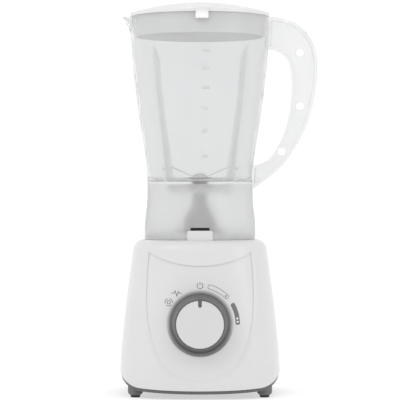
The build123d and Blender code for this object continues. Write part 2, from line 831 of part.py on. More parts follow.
with BuildPart() as jug:
    add(jug_form(0.0, jug_bottom, jug_rim_level))
    add(spout_form(0.0, 0.0))
    add(handle_blank.part)
    add(bowl.part, mode=Mode.SUBTRACT)
    add(spout_form(spout_wall, 6.0), mode=Mode.SUBTRACT)
    add(jug_form(jug_wall, jug_bottom - 1.0, jug_floor_level - jug_floor_wall), mode=Mode.SUBTRACT)
    add(rib_ring.part)
    add(graduation.part)
    # Stiffening ring under the floor, and the hole for the bearing housing.
    add(ring(jug_boss_radius - jug_wall, jug_boss_radius, jug_boss_bottom, jug_floor_level - 1.0))
    with BuildSketch(Plane.XY.offset(jug_boss_bottom)):
        Circle(bearing_radius + bearing_hole_gap)
    extrude(amount=20.0, mode=Mode.SUBTRACT)
    # Guide ribs inside the front of the skirt, and the notch for the casing's tab.
    with BuildSketch(Plane.XY.offset(guide_bottom)):
        with Locations(*[(x, -(jug_waist_radius - jug_wall)) for x in guide_rib_x]):
            Rectangle(1.0, 5.0)
    extrude(amount=guide_height)
    with BuildSketch(Plane.XZ.offset(seat_radius)):
        with Locations((0, jug_bottom)):
            Rectangle(2 * (tab_half_width + notch_gap), 2 * (tab_top + notch_gap - jug_bottom))
            Rectangle(2 * window_half_width, 2 * (window_top - jug_bottom))
    extrude(amount=20.0, mode=Mode.SUBTRACT)
keep(jug, "jug")


# ---------------------------------------------------------------- lid and filler cap

lid_bottom = jug_rim_level + lid_gap
plug_bottom = lid_bottom - plug_depth
plug_radius = bowl_radius(plug_bottom) - plug_gap
lid_top = lid_bottom + lid_rise
dome_sag = lid_rise - lid_edge_height
dome_radius = (lid_edge_radius ** 2 + dome_sag ** 2) / (2 * dome_sag)


def dome_level(radius, inset=0.0):
    """Height of the lid's dome at a radius, or of the surface inset below it."""
    return lid_top - dome_radius + math.sqrt((dome_radius - inset) ** 2 - radius ** 2)


def dome_arc(inner, outer, inset=0.0):
    """Arc of the dome's section between two radii, as three points."""
    middle = (inner + outer) / 2
    return [(radius, dome_level(radius, inset)) for radius in (inner, middle, outer)]


cap_seat_level = lid_top - 2.6
cap_hole_radius = cap_neck_radius + cap_gap
lid_tab_centre = 2.0
lid_tab_half = 6.4
lid_tab_bottom = lid_bottom - 7.1
lid_tab_thickness = 2.4
lid_tab_radius = jug_rim_radius + 0.6

lid_corner = 1.2
collar_depth = 12.0
collar_radius = cap_radius + 2.6
lid_tab_root = 2.6

with BuildPart() as lid:
    with BuildSketch(Plane.XZ):
        with BuildLine():
            crown = ThreePointArc(*dome_arc(cap_radius + cap_gap, lid_edge_radius))
            skin = ThreePointArc(*dome_arc(collar_radius, plug_radius - plug_wall, lid_wall))
            Polyline(
                crown @ 1, (lid_edge_radius, lid_bottom), (plug_radius, lid_bottom),
                (plug_radius, plug_bottom), (plug_radius - plug_wall, plug_bottom), skin @ 1,
            )
            # Collar round the filler hole, with a ledge that the cap rests on.
            collar_bottom = lid_top - collar_depth
            Polyline(
                skin @ 0, (collar_radius, collar_bottom), (cap_hole_radius, collar_bottom),
                (cap_hole_radius, cap_seat_level), (cap_radius + cap_gap, cap_seat_level), crown @ 0,
            )
        make_face()
    revolve(axis=Axis.Z)
    edge_ring = lid.edges().filter_by(is_closed_edge)
    edge_ring = edge_ring.filter_by(lambda edge: edge.radius > lid_edge_radius - 0.1)
    fillet(edge_ring.sort_by(Axis.Z)[-1], radius=lid_corner)
    # Finger tab that hangs over the front of the rim.
    with BuildSketch(Plane.XY.offset(lid_tab_bottom)):
        Circle(lid_tab_radius + lid_tab_thickness)
        Circle(lid_tab_radius, mode=Mode.SUBTRACT)
        with Locations((lid_tab_centre, -lid_tab_radius)):
            Rectangle(2 * lid_tab_half, 12.0, mode=Mode.INTERSECT)
    extrude(amount=lid_bottom + lid_tab_root - lid_tab_bottom)
    with BuildSketch(Plane.XY.offset(lid_bottom)):
        Circle(lid_tab_radius + 1.0)
        Circle(lid_edge_radius - 3.0, mode=Mode.SUBTRACT)
        with Locations((lid_tab_centre, -lid_tab_radius)):
            Rectangle(2 * lid_tab_half, 12.0, mode=Mode.INTERSECT)
    extrude(amount=lid_tab_root)
keep(lid, "lid")

cap_wall = 2.2
finger_depth = 5.0
grip_width = 7.0
cap_bottom = cap_seat_level - cap_neck_depth
with BuildPart() as filler_cap:
    with BuildSketch(Plane.XZ):
        with BuildLine():
            cap_crown = ThreePointArc(*dome_arc(0.0, cap_radius))
            cap_ledge = cap_seat_level + 0.3
            cap_roof = cap_seat_level - finger_depth - cap_wall
            cap_inner = cap_neck_radius - cap_wall
            Polyline(
                cap_crown @ 1, (cap_radius, cap_ledge), (cap_neck_radius, cap_ledge),
                (cap_neck_radius, cap_bottom), (cap_inner, cap_bottom), (cap_inner, cap_roof),
                (0, cap_roof), cap_crown @ 0,
            )
        make_face()
    revolve(axis=Axis.Z)
    # Two finger hollows with a grip bar left between them.
    with BuildSketch(Plane.XY.offset(cap_seat_level - finger_depth)):
        Circle(cap_neck_radius - cap_wall)
        Rectangle(grip_width, FAR, mode=Mode.SUBTRACT)
    extrude(amount=20.0, mode=Mode.SUBTRACT)
keep(filler_cap, "filler_cap")

# ---------------------------------------------------------------- bearing and blades

bearing_flange_bottom = jug_floor_level + gasket_thickness
bearing_top = bearing_flange_bottom + bearing_flange_height
spindle_bush_radius = 6.0
bush_length = 8.0
seal_height = 3.6
locknut_height = 6.0
locknut_radius = 13.6
bush_low = bearing_bottom + 0.6
bush_high = bearing_top - seal_height - 0.6 - bush_length

with BuildPart() as bearing_gasket:
    gasket_bore = bearing_radius + bearing_hole_gap
    add(ring(gasket_bore, bearing_flange_radius - 0.6, jug_floor_level, bearing_flange_bottom))
keep(bearing_gasket, "bearing_gasket")

with BuildPart() as bearing_housing:
    add(ring(spindle_bush_radius, bearing_radius, bearing_bottom, bearing_top))
    add(ring(bearing_radius - 0.5, bearing_flange_radius, bearing_flange_bottom, bearing_top))
    fillet(bearing_housing.edges().group_by(Axis.Z)[-1].sort_by(SortBy.LENGTH)[-1], radius=0.6)
    add(ring(spindle_radius + 1.0, bearing_radius - 0.2, bush_low + bush_length, bush_high))
keep(bearing_housing, "bearing_housing")

with BuildPart() as bearing_locknut:
    with BuildSketch(Plane.XY.offset(jug_floor_level - jug_floor_wall - locknut_height)):
        RegularPolygon(locknut_radius, 6)
        Circle(bearing_radius, mode=Mode.SUBTRACT)
    extrude(amount=locknut_height)
keep(bearing_locknut, "bearing_locknut")

with BuildPart() as spindle_bush_lower:
    add(ring(spindle_radius + running_gap, spindle_bush_radius, bush_low, bush_low + bush_length))
keep(spindle_bush_lower, "spindle_bush_lower")

with BuildPart() as spindle_bush_upper:
    add(ring(spindle_radius + running_gap, spindle_bush_radius, bush_high, bush_high + bush_length))
keep(spindle_bush_upper, "spindle_bush_upper")

with BuildPart() as spindle_seal:
    seal_bottom = bearing_top - seal_height - 0.3
    add(ring(spindle_radius + running_gap, spindle_bush_radius, seal_bottom, seal_bottom + seal_height))
    seal_top = spindle_seal.faces().sort_by(Axis.Z)[-1]
    chamfer(seal_top.inner_wires()[0].edges(), length=1.0)
keep(spindle_seal, "spindle_seal")

washer_bottom = bearing_top + 0.2
lower_blade_level = washer_bottom + 0.5
upper_blade_level = lower_blade_level + blade_thickness
nut_level = upper_blade_level + blade_thickness
blade_root = blade_hub_radius - 1.6


def blade_blank(level, root, reach, angle, first_turn):
    """Flat hub with two opposite wings, bent up by angle."""
    tilt = math.radians(angle)
    with BuildPart() as blank:
        with BuildSketch(Plane.XY.offset(level)):
            Circle(blade_hub_radius)
        extrude(amount=blade_thickness)
        for turn in (first_turn, first_turn + 180):
            out = (math.cos(math.radians(turn)), math.sin(math.radians(turn)))
            wing_plane = Plane(
                origin=(root * out[0], root * out[1], level),
                x_dir=(out[0] * math.cos(tilt), out[1] * math.cos(tilt), math.sin(tilt)),
                z_dir=(-out[0] * math.sin(tilt), -out[1] * math.sin(tilt), math.cos(tilt)),
            )
            length = (reach - root) / math.cos(tilt)
            with BuildSketch(wing_plane):
                with BuildLine():
                    trailing = Line((0, -blade_width / 2), (length * 0.8, -blade_width * 0.36))
                    tip = Line((length, -blade_width * 0.05), (length * 0.92, blade_width * 0.16))
                    Spline(trailing @ 1, tip @ 0, tangents=((1, 0), (-0.2, 1)))
                    Spline(tip @ 1, (0, blade_width / 2), tangents=((-1, 0.1), (-1, 0.25)))
                    Line((0, blade_width / 2), (0, -blade_width / 2))
                make_face()
            extrude(amount=blade_thickness)
        with BuildSketch(Plane.XY.offset(level - 5)):
            Circle(spindle_radius)
        extrude(amount=15, mode=Mode.SUBTRACT)
    return blank.part


with BuildPart() as blade_washer:
    add(ring(spindle_radius, 7.0, washer_bottom, lower_blade_level))
keep(blade_washer, "blade_washer")

with BuildPart() as blade_lower:
    add(blade_blank(lower_blade_level, blade_root, lower_blade_reach, lower_blade_angle, lower_blade_turn))
keep(blade_lower, "blade_lower")

with BuildPart() as blade_upper:
    add(blade_blank(upper_blade_level, blade_root, blade_reach, upper_blade_angle, 0.0))
keep(blade_upper, "blade_upper")

spindle_bottom = coupling_plane + dog_height + 2 * coupling_gap + 1.5
spindle_top = nut_level + 2.2
with BuildPart() as blade_spindle:
    with BuildSketch(Plane.XY.offset(spindle_bottom)):
        Circle(spindle_radius)
    extrude(amount=spindle_top - spindle_bottom)
    chamfer(blade_spindle.edges().group_by(Axis.Z)[0], length=0.5)
keep(blade_spindle, "blade_spindle")

with BuildPart() as blade_nut:
    with BuildSketch(Plane.XY.offset(nut_level)):
        RegularPolygon(6.4, 6)
    extrude(amount=3.4)
    with Locations((0, 0, nut_level - 4.4)):
        Sphere(8.2, mode=Mode.INTERSECT)
    with BuildSketch(Plane.XY.offset(nut_level)):
        Circle(spindle_radius)
    extrude(amount=2.4, mode=Mode.SUBTRACT)
keep(blade_nut, "blade_nut")

# ---------------------------------------------------------------- couplings

dog_step = 360.0 / dog_count


def dogs(inner, outer, bottom, top, first_turn):
    """Ring of straight-sided driving teeth."""
    with BuildPart() as teeth:
        with BuildSketch(Plane.XY.offset(bottom)):
            for tooth in range(dog_count):
                middle = math.radians(first_turn + tooth * dog_step)
                half = math.radians(dog_angle / 2)
                corners = [(0, 0)]
                for turn in (middle - half, middle + half):
                    corners.append((2 * outer * math.cos(turn), 2 * outer * math.sin(turn)))
                with BuildLine():
                    Polyline(*corners, close=True)
                make_face()
            Circle(outer, mode=Mode.INTERSECT)
            Circle(inner, mode=Mode.SUBTRACT)
        extrude(amount=top - bottom)
    return teeth.part


coupling_hub_radius = 8.0
splash_bottom = seat_top + 1.5
drive_coupling_bottom = casing_top - 13.3
disc_thickness = 2.4
splash_radius = bell_radius + 9.0
with BuildPart() as drive_coupling:
    with BuildSketch(Plane.XY.offset(drive_coupling_bottom)):
        Circle(coupling_hub_radius)
    extrude(amount=coupling_plane - drive_coupling_bottom)
    with BuildSketch(Plane.XY.offset(coupling_plane - disc_thickness)):
        Circle(bell_radius - 1.0)
    extrude(amount=disc_thickness)
    add(dogs(shaft_radius, dog_outer_radius, coupling_plane - 0.5, coupling_plane + dog_height, 0.0))
    with BuildSketch(Plane.XY.offset(coupling_plane - 1.0)):
        Circle(dog_inner_radius)
    extrude(amount=dog_height * 0.55)
    with BuildSketch(Plane.XY.offset(drive_coupling_bottom)):
        Circle(shaft_radius)
    extrude(amount=shaft_top + 0.5 - drive_coupling_bottom, mode=Mode.SUBTRACT)
keep(drive_coupling, "drive_coupling")

bell_rim = coupling_plane + coupling_gap
bell_roof = coupling_plane + dog_height + coupling_gap
with BuildPart() as driven_coupling:
    with BuildSketch(Plane.XZ):
        with BuildLine():
            skirt_top = (bell_radius, bell_rim + 3.4)
            neck = (bell_neck_radius, bell_top - 2.4)
            Polyline((0, bell_rim), (bell_radius, bell_rim), skirt_top)
            cone = Spline(skirt_top, (12.4, bell_top - 7.8), tangents=((-0.1, 1), (-0.5, 1)))
            Spline(cone @ 1, neck, tangents=((-0.5, 1), (-0.1, 1)))
            Polyline(neck, (bell_neck_radius, bell_top), (0, bell_top), (0, bell_rim))
        make_face()
    revolve(axis=Axis.Z)
    with BuildSketch(Plane.XY.offset(bell_rim - 1.0)):
        Circle(dog_outer_radius + coupling_gap)
    extrude(amount=bell_roof - bell_rim + 1.0, mode=Mode.SUBTRACT)
    bell_bore = dog_outer_radius + coupling_gap
    add(dogs(dog_inner_radius + coupling_gap, bell_bore + 1.0, bell_rim, bell_roof + 0.5, dog_step / 2))
    with BuildSketch(Plane.XY.offset(spindle_bottom - 0.2)):
        Circle(spindle_radius)
    extrude(amount=20.0, mode=Mode.SUBTRACT)
keep(driven_coupling, "driven_coupling")

with BuildPart() as splash_disc:
    with BuildSketch(Plane.XZ):
        with BuildLine():
            plate_bottom = coupling_plane - disc_thickness
            Polyline(
                (coupling_hub_radius, plate_bottom), (bell_radius, plate_bottom),
                (splash_radius - 1.0, splash_bottom + 2.6), (splash_radius, splash_bottom + 1.8),
                (splash_radius, splash_bottom), (splash_radius - 1.4, splash_bottom),
                (splash_radius - 2.2, splash_bottom + 0.8), (coupling_hub_radius, splash_bottom + 1.0),
                close=True,
            )
        make_face()
    revolve(axis=Axis.Z)
keep(splash_disc, "splash_disc")


# ---------------------------------------------------------------- motor

yoke_half_x = stator_half_x - yoke_wall
yoke_half_y = stator_half_y - yoke_wall
pole_half_width = 14.0
shoe_half_width = 19.0
shoe_thickness = 4.0
coil_gap = 0.3
motor_screw_hole = mount_screw_radius + 0.1
stator_middle = (stator_bottom + stator_top) / 2
stack_half = (stator_top - stator_bottom) / 2

with BuildPart() as stator_core:
    with BuildSketch(Plane.XY.offset(stator_bottom)):
        RectangleRounded(2 * stator_half_x, 2 * stator_half_y, 4.0)
        RectangleRounded(2 * yoke_half_x, 2 * yoke_half_y, 8.0, mode=Mode.SUBTRACT)
        Rectangle(2 * yoke_half_x + 2.0, 2 * pole_half_width)
        with Locations((stator_bore + shoe_thickness / 2, 0), (-stator_bore - shoe_thickness / 2, 0)):
            Rectangle(shoe_thickness, 2 * shoe_half_width)
        with Locations((stator_bore - 4.0, 0), (4.0 - stator_bore, 0)):
            Rectangle(8.0, 2 * shoe_half_width)
        Circle(stator_bore, mode=Mode.SUBTRACT)
        with GridLocations(2 * motor_screw_x, 2 * motor_screw_y, 2, 2):
            Circle(motor_screw_hole, mode=Mode.SUBTRACT)
    extrude(amount=stator_top - stator_bottom)
keep(stator_core, "stator_core")

coil_inner_x = stator_bore + shoe_thickness + coil_gap
coil_outer_x = yoke_half_x - coil_gap
coil_half_y = pole_half_width + coil_gap
coil_half_z = stack_half + coil_gap
coil_band = 8.0
coil_corner = 0.6
for coil_name, side in (("field_coil_right", 1), ("field_coil_left", -1)):
    with BuildPart() as field_coil:
        with BuildSketch(Plane.YZ.offset(coil_inner_x if side > 0 else -coil_outer_x)):
            with Locations((0, stator_middle)):
                RectangleRounded(2 * (coil_half_y + coil_band), 2 * (coil_half_z + coil_band), 7.0)
                RectangleRounded(2 * coil_half_y, 2 * coil_half_z, coil_corner, mode=Mode.SUBTRACT)
        extrude(amount=coil_outer_x - coil_inner_x)
        fillet(field_coil.edges().filter_by(lambda edge: edge.length > 20).group_by(Axis.X)[0], radius=1.0)
    keep(field_coil, coil_name)

armature_radius = stator_bore - air_gap
slot_width = 4.0
slot_floor = 13.0
with BuildPart() as armature_core:
    with BuildSketch(Plane.XY.offset(stator_bottom + 2.0)):
        Circle(armature_radius)
        with PolarLocations((slot_floor + stator_bore) / 2, armature_slots):
            Rectangle(stator_bore - slot_floor, slot_width, mode=Mode.SUBTRACT)
        Circle(shaft_radius, mode=Mode.SUBTRACT)
    extrude(amount=stator_top - stator_bottom - 4.0)
keep(armature_core, "armature_core")

winding_radius = 21.0
winding_hub = 9.0
winding_height = 9.0
winding_fillet = 2.5
core_bottom = stator_bottom + 2.0
core_top = stator_top - 2.0
with BuildPart() as armature_windings:
    for low in (core_bottom - fit_gap - winding_height, core_top + fit_gap):
        add(ring(winding_hub, winding_radius, low, low + winding_height))
    fillet(armature_windings.edges().filter_by(is_closed_edge).group_by(Axis.Z)[-1], radius=winding_fillet)
    fillet(armature_windings.edges().filter_by(is_closed_edge).group_by(Axis.Z)[0], radius=winding_fillet)
    with BuildSketch(Plane.XY.offset(core_bottom - 2.0)):
        with PolarLocations((slot_floor + winding_radius) / 2, armature_slots):
            Rectangle(winding_radius - slot_floor - 0.8, slot_width - 2 * fit_gap)
    extrude(amount=core_top - core_bottom + 4.0)
keep(armature_windings, "armature_windings")

with BuildPart() as motor_shaft:
    with BuildSketch(Plane.XY.offset(shaft_bottom)):
        Circle(shaft_radius)
    extrude(amount=shaft_top - shaft_bottom)
    chamfer(motor_shaft.edges().filter_by(is_closed_edge), length=0.5)
keep(motor_shaft, "motor_shaft")

with BuildPart() as commutator:
    with BuildSketch(Plane.XY.offset(commutator_bottom)):
        Circle(commutator_radius)
        with PolarLocations(commutator_radius, 2 * armature_slots):
            Rectangle(1.6, 0.5, mode=Mode.SUBTRACT)
        Circle(shaft_radius, mode=Mode.SUBTRACT)
    extrude(amount=commutator_top - commutator_bottom)
    add(ring(shaft_radius, commutator_radius + 1.5, commutator_top - 0.1, commutator_top + 2.4))
keep(commutator, "commutator")

with BuildPart() as cooling_fan:
    with BuildSketch(Plane.XY.offset(fan_top - 1.6)):
        Circle(fan_radius)
    extrude(amount=1.6)
    with BuildSketch(Plane.XY.offset(fan_bottom)):
        with PolarLocations((fan_radius + 11.0) / 2, fan_blades):
            Rectangle(fan_radius - 12.0, 1.6, rotation=24)
        Circle(9.0)
    extrude(amount=fan_top - fan_bottom - 1.0)
    with BuildSketch(Plane.XY.offset(fan_bottom - 5.0)):
        Circle(shaft_radius)
    extrude(amount=FAR / 2, mode=Mode.SUBTRACT)
keep(cooling_fan, "cooling_fan")

motor_bush_radius = 9.0
motor_bush_length = 8.5
bracket_post_radius = 4.2
air_window_x = 26.0
air_window_length = 34.0
air_window_width = 16.0


def bearing_bracket(level, cup_bottom, cup_top, post_bottom, post_top):
    """Pressed plate with a bearing cup, four posts for the long screws and two air windows."""
    with BuildPart() as bracket:
        with BuildSketch(Plane.XY.offset(level)):
            RectangleRounded(2 * stator_half_x, 2 * stator_half_y, 6.0)
            with Locations((air_window_x, 0), (-air_window_x, 0)):
                SlotOverall(air_window_length, air_window_width, rotation=90, mode=Mode.SUBTRACT)
        extrude(amount=bracket_thickness)
        add(ring(motor_bush_radius, motor_bush_radius + 2.4, cup_bottom, cup_top))
        with BuildSketch(Plane.XY.offset(post_bottom)):
            with GridLocations(2 * motor_screw_x, 2 * motor_screw_y, 2, 2):
                Circle(bracket_post_radius)
        extrude(amount=post_top - post_bottom)
        with BuildSketch(Plane.XY):
            Circle(motor_bush_radius)
            with GridLocations(2 * motor_screw_x, 2 * motor_screw_y, 2, 2):
                Circle(motor_screw_hole)
        extrude(amount=FAR, mode=Mode.SUBTRACT)
    return bracket.part


lower_cup = (lower_bracket_level - 2.5, lower_bracket_level + 6.0)
upper_cup = (upper_bracket_level, upper_bracket_level + 10.0)
grommet_waist = 4.6
grommet_radius = 7.0
with BuildPart() as lower_bracket:
    cup_end = lower_cup[1] - 0.6
    add(bearing_bracket(lower_bracket_level, lower_cup[0], cup_end, lower_bracket_level, stator_bottom))
keep(lower_bracket, "lower_bracket")

with BuildPart() as upper_bracket:
    post_end = upper_bracket_level + 1.0
    add(bearing_bracket(upper_bracket_level, upper_cup[0], upper_cup[1], stator_top, post_end))
    with BuildSketch(Plane.XY.offset(upper_bracket_level)):
        with GridLocations(2 * mount_x, 2 * mount_y, 2, 2):
            Circle(grommet_radius + 1.5)
        with GridLocations(2 * mount_x - 12.0, 2 * mount_y, 2, 2):
            Rectangle(12.0, 2 * grommet_radius + 3.0)
        with GridLocations(2 * mount_x, 2 * mount_y, 2, 2):
            Circle(grommet_waist, mode=Mode.SUBTRACT)
    extrude(amount=bracket_thickness)
    with BuildSketch(Plane.XY.offset(upper_bracket_level - 1.0)):
        with GridLocations(2 * mount_x, 2 * mount_y, 2, 2):
            Circle(grommet_waist)
    extrude(amount=bracket_thickness + 2.0, mode=Mode.SUBTRACT)
keep(upper_bracket, "upper_bracket")

with BuildPart() as motor_bush_lower:
    add(ring(shaft_radius + running_gap, motor_bush_radius, lower_cup[0], lower_cup[0] + 8.0))
keep(motor_bush_lower, "motor_bush_lower")

with BuildPart() as motor_bush_upper:
    bush_bottom = upper_cup[0] + 1.0
    add(ring(shaft_radius + running_gap, motor_bush_radius, bush_bottom, bush_bottom + motor_bush_length))
keep(motor_bush_upper, "motor_bush_upper")

with BuildPart() as motor_through_screws:
    with BuildSketch(Plane.XY.offset(lower_bracket_level - 2.6)):
        with GridLocations(2 * motor_screw_x, 2 * motor_screw_y, 2, 2):
            RegularPolygon(3.9, 6)
    extrude(amount=2.6)
    with BuildSketch(Plane.XY.offset(lower_bracket_level)):
        with GridLocations(2 * motor_screw_x, 2 * motor_screw_y, 2, 2):
            Circle(mount_screw_radius)
    extrude(amount=upper_bracket_level + bracket_thickness + 1.0 - lower_bracket_level)
keep(motor_through_screws, "motor_through_screws")

with BuildPart() as motor_mounts:
    with BuildSketch(Plane.XY.offset(upper_bracket_level - 4.0)):
        with GridLocations(2 * mount_x, 2 * mount_y, 2, 2):
            Circle(grommet_radius)
    extrude(amount=4.0)
    with BuildSketch(Plane.XY.offset(upper_bracket_level)):
        with GridLocations(2 * mount_x, 2 * mount_y, 2, 2):
            Circle(grommet_waist)
    extrude(amount=bracket_thickness)
    with BuildSketch(Plane.XY.offset(upper_bracket_level + bracket_thickness)):
        with GridLocations(2 * mount_x, 2 * mount_y, 2, 2):
            Circle(grommet_radius)
    extrude(amount=mount_post_bottom - upper_bracket_level - bracket_thickness)
    with BuildSketch(Plane.XY.offset(upper_bracket_level - 5.0)):
        with GridLocations(2 * mount_x, 2 * mount_y, 2, 2):
            Circle(mount_screw_radius + fit_gap)
    extrude(amount=20.0, mode=Mode.SUBTRACT)
keep(motor_mounts, "motor_mounts")

with BuildPart() as mount_screws:
    with BuildSketch(Plane.XY.offset(upper_bracket_level - 6.6)):
        with GridLocations(2 * mount_x, 2 * mount_y, 2, 2):
            Circle(3.9)
    extrude(amount=2.6)
    with BuildSketch(Plane.XY.offset(upper_bracket_level - 6.6)):
        with GridLocations(2 * mount_x, 2 * mount_y, 2, 2):
            Rectangle(screw_cross, screw_cross_width)
            Rectangle(screw_cross_width, screw_cross)
    extrude(amount=screw_cross_depth, mode=Mode.SUBTRACT)
    with BuildSketch(Plane.XY.offset(upper_bracket_level - 4.0)):
        with GridLocations(2 * mount_x, 2 * mount_y, 2, 2):
            Circle(mount_screw_radius)
    extrude(amount=mount_post_bottom - upper_bracket_level + 17.0)
keep(mount_screws, "mount_screws")

holder_inner = commutator_radius + 2.0
holder_outer = 33.0
brush_half_x = 3.0
brush_half_z = 4.0
holder_wall = 1.6
holder_y = (holder_inner + holder_outer) / 2
with BuildPart() as brush_holders:
    with BuildSketch(Plane.XY.offset(brush_level - brush_half_z - holder_wall)):
        with Locations((0, holder_y), (0, -holder_y)):
            Rectangle(2 * (brush_half_x + holder_wall), holder_outer - holder_inner)
    extrude(amount=2 * (brush_half_z + holder_wall))
    with BuildSketch(Plane.XY.offset(brush_level - brush_half_z - 0.1)):
        with Locations((0, holder_y - holder_wall), (0, holder_wall - holder_y)):
            Rectangle(2 * brush_half_x + fit_gap, holder_outer - holder_inner)
    extrude(amount=2 * brush_half_z + fit_gap, mode=Mode.SUBTRACT)
    with BuildSketch(Plane.XY.offset(lower_bracket_level + bracket_thickness)):
        with Locations((0, holder_y), (0, -holder_y)):
            Rectangle(5.0, 12.0)
    extrude(amount=brush_level - brush_half_z - holder_wall - lower_bracket_level - bracket_thickness)
keep(brush_holders, "brush_holders")

brush_tip = commutator_radius + 0.3
brush_length = 11.0
with BuildPart() as carbon_brushes:
    with BuildSketch(Plane.XY.offset(brush_level - brush_half_z)):
        for side in (1, -1):
            with Locations((0, side * (brush_tip + brush_length / 2))):
                Rectangle(2 * brush_half_x, brush_length)
    extrude(amount=2 * brush_half_z)
keep(carbon_brushes, "carbon_brushes")

spring_start = brush_tip + brush_length + 0.4
spring_end = holder_outer - holder_wall - 0.4
spring_turns = 5
spring_radius = 2.1
spring_wire_radius = 0.35
for spring_name, side in (("brush_spring_front", -1), ("brush_spring_rear", 1)):
    coil_path = Helix(
        pitch=(spring_end - spring_start) / spring_turns,
        height=spring_end - spring_start,
        radius=spring_radius,
        center=(0, side * spring_start, brush_level),
        direction=(0, side, 0),
    )
    with BuildPart() as brush_spring:
        with BuildSketch(Plane(origin=coil_path @ 0, z_dir=coil_path % 0)):
            Circle(spring_wire_radius)
        sweep(path=coil_path)
    keep(brush_spring, spring_name)
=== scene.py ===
# %% [markdown]
# # A countertop blender
# The shapes that work together (casing, motor, couplings, jug, blades, lid and knob) arrive as a
# finished frame, in metres, with +Z up and the knob at -Y. This lesson gives every piece its
# finish, adds the small things that only the eye needs, such as the printed scale round the
# knob, and sets up a plain studio.

# %% Load the frame
import math

import bpy
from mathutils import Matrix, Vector


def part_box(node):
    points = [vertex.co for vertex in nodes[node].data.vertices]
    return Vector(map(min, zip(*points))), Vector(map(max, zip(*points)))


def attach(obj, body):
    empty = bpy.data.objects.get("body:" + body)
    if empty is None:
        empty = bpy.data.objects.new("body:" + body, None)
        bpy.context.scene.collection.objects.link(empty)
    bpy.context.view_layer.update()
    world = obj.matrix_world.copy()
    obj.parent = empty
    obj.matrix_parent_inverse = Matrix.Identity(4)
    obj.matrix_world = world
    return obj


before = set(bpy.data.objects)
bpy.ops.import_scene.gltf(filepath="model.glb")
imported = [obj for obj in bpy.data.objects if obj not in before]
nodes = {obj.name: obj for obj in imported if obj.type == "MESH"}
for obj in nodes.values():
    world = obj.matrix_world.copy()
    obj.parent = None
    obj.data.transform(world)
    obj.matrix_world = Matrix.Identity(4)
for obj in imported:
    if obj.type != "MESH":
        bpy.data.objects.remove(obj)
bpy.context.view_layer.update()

MM = 0.001
bpy.ops.object.select_all(action="DESELECT")

# %% [markdown]
# The knob's axis is read from the frame, because the print, the shade and the spun rings are all
# centred on it. The knob turns about a line along Y; its height is the middle of its face's box.

# %% Places taken from the frame
knob_low, knob_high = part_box("knob_face")
knob_centre = (knob_low + knob_high) / 2
print("knob axis at z", round(knob_centre.z, 4))

# %% [markdown]
# A material is a small network of nodes. Written out one by one those networks hide the idea, so
# `Socket` wraps an output and lets it be added and multiplied like a number, and `Finish.node`
# makes any other node: its settings first, then what goes into it.


# %% Shader arithmetic
class Socket:
    """An output of a shader node that can be used in sums."""

    def __init__(self, finish, output):
        self.finish = finish
        self.output = output

    def maths(self, operation, other=0.0, swapped=False):
        pair = (other, self) if swapped else (self, other)
        return self.finish.node("ShaderNodeMath", {"operation": operation}, {0: pair[0], 1: pair[1]})

    def __add__(self, other):
        return self.maths("ADD", other)

    def __sub__(self, other):
        return self.maths("SUBTRACT", other)

    def __mul__(self, other):
        return self.maths("MULTIPLY", other)

    def __truediv__(self, other):
        return self.maths("DIVIDE", other)

    def __rsub__(self, other):
        return self.maths("SUBTRACT", other, swapped=True)

    def __rtruediv__(self, other):
        return self.maths("DIVIDE", other, swapped=True)

    __radd__ = __add__
    __rmul__ = __mul__

    def clamp(self):
        return self.finish.node("ShaderNodeClamp", {}, {0: self})


class Finish:
    """A material with one Principled shader, built up node by node."""

    def __init__(self, name, **uniform):
        self.material = bpy.data.materials.new(name)
        self.material.use_nodes = True
        self.tree = self.material.node_tree
        self.shader = self.tree.nodes["Principled BSDF"]
        for key, value in uniform.items():
            socket_name = key.replace("_", " ").title().replace("Ior", "IOR")
            self.shader.inputs[socket_name].default_value = value

    def node(self, kind, settings, inputs, output=0):
        made = self.tree.nodes.new(kind)
        for key, value in settings.items():
            setattr(made, key, value)
        for key, value in inputs.items():
            if isinstance(value, Socket):
                self.tree.links.new(value.output, made.inputs[key])
            else:
                made.inputs[key].default_value = value
        return Socket(self, made.outputs[output])

    def place(self, scale=(1, 1, 1), centre=(0, 0, 0), turn=(0, 0, 0)):
        """Object coordinates, measured from centre, turned and stretched."""
        spot = self.node("ShaderNodeTexCoord", {}, {}, "Object")
        moved = self.node("ShaderNodeVectorMath", {"operation": "SUBTRACT"}, {0: spot, 1: centre})
        return self.node("ShaderNodeMapping", {}, {"Vector": moved, "Rotation": turn, "Scale": scale})

    def part(self, vector, axis):
        return self.node("ShaderNodeSeparateXYZ", {}, {0: vector}, axis)

    def noise(self, vector, scale, detail=3.0, roughness=0.5):
        inputs = {"Vector": vector, "Scale": scale, "Detail": detail, "Roughness": roughness}
        return self.node("ShaderNodeTexNoise", {}, inputs, "Fac")

    def ramp(self, factor, *stops):
        """Colour ramp: each stop is (position, grey or colour)."""
        made = self.tree.nodes.new("ShaderNodeValToRGB")
        steps = made.color_ramp.elements
        while len(steps) < len(stops):
            steps.new(0.5)
        for step, (position, colour) in zip(steps, stops):
            step.position = position
            step.color = (*colour, 1) if isinstance(colour, tuple) else (colour, colour, colour, 1)
        self.tree.links.new(factor.output, made.inputs[0])
        return Socket(self, made.outputs[0])

    def blend(self, factor, first, second):
        inputs = {0: factor, 6: first, 7: second}
        return self.node("ShaderNodeMix", {"data_type": "RGBA"}, inputs, 2)

    def bump(self, height, distance, strength=1.0):
        inputs = {"Height": height, "Distance": distance, "Strength": strength}
        return self.node("ShaderNodeBump", {}, inputs, "Normal")

    def feed(self, **sockets):
        for name, value in sockets.items():
            target = self.shader.inputs[name.replace("_", " ").title()]
            if isinstance(value, Socket):
                self.tree.links.new(value.output, target)
            else:
                target.default_value = value
        return self.material


def grey(value):
    return (value, value, value, 1.0)


